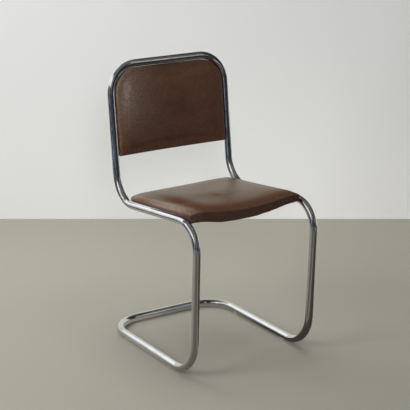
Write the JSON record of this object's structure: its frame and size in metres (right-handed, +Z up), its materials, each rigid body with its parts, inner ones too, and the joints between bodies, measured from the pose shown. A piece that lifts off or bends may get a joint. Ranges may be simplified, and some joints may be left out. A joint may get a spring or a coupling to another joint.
{
  "type": "cantilever chair",
  "caption": "Cantilever dining chair: one looped chromed tube carries a dished upholstered seat and a curved upholstered back.",
  "frame": {"origin": "on the floor, under the middle of the chair's outer box", "axes": "+Z up, +X to the right of a viewer who faces the chair's front from -Y, the chair faces -Y"},
  "size_m": [0.415, 0.5117, 0.824],
  "materials": {
    "chromed_tube": "polished chrome plate on steel, lightly worn",
    "plain_steel": "bare drawn steel",
    "zinc_steel": "zinc plated steel",
    "glide_plastic": "grey nylon",
    "plywood": "moulded beech plywood, unfinished",
    "hardboard": "thin hardboard",
    "foam": "open-cell polyether foam",
    "leatherette": "dark brown grained leatherette, softly worn, semi-gloss",
    "dust_cloth": "thin black non-woven cloth"
  },
  "bodies": {
    "root": {"frame_tube_left": "chromed_tube", "frame_tube_right": "chromed_tube", "top_joint_sleeve": "plain_steel", "base_joint_sleeve": "plain_steel", "sleeve_rivets": "chromed_tube", "glide_front_left": "glide_plastic", "glide_front_right": "glide_plastic", "glide_rear_left": "glide_plastic", "glide_rear_right": "glide_plastic", "seat_board": "plywood", "seat_foam": "foam", "seat_cover": "leatherette", "seat_dust_cloth": "dust_cloth", "seat_staples": "plain_steel", "seat_lug_front_left": "chromed_tube", "seat_lug_front_right": "chromed_tube", "seat_lug_rear_left": "chromed_tube", "seat_lug_rear_right": "chromed_tube", "seat_screws": "zinc_steel", "seat_washers": "zinc_steel", "seat_tee_nuts": "zinc_steel", "back_board": "plywood", "back_foam": "foam", "back_cover": "leatherette", "back_rear_panel": "hardboard", "back_rear_cover": "leatherette", "back_staples": "plain_steel", "back_lug_bottom_left": "chromed_tube", "back_lug_bottom_right": "chromed_tube", "back_lug_top_left": "chromed_tube", "back_lug_top_right": "chromed_tube", "back_screws": "zinc_steel", "back_washers": "zinc_steel", "back_tee_nuts": "zinc_steel"}
  },
  "joints": []
}
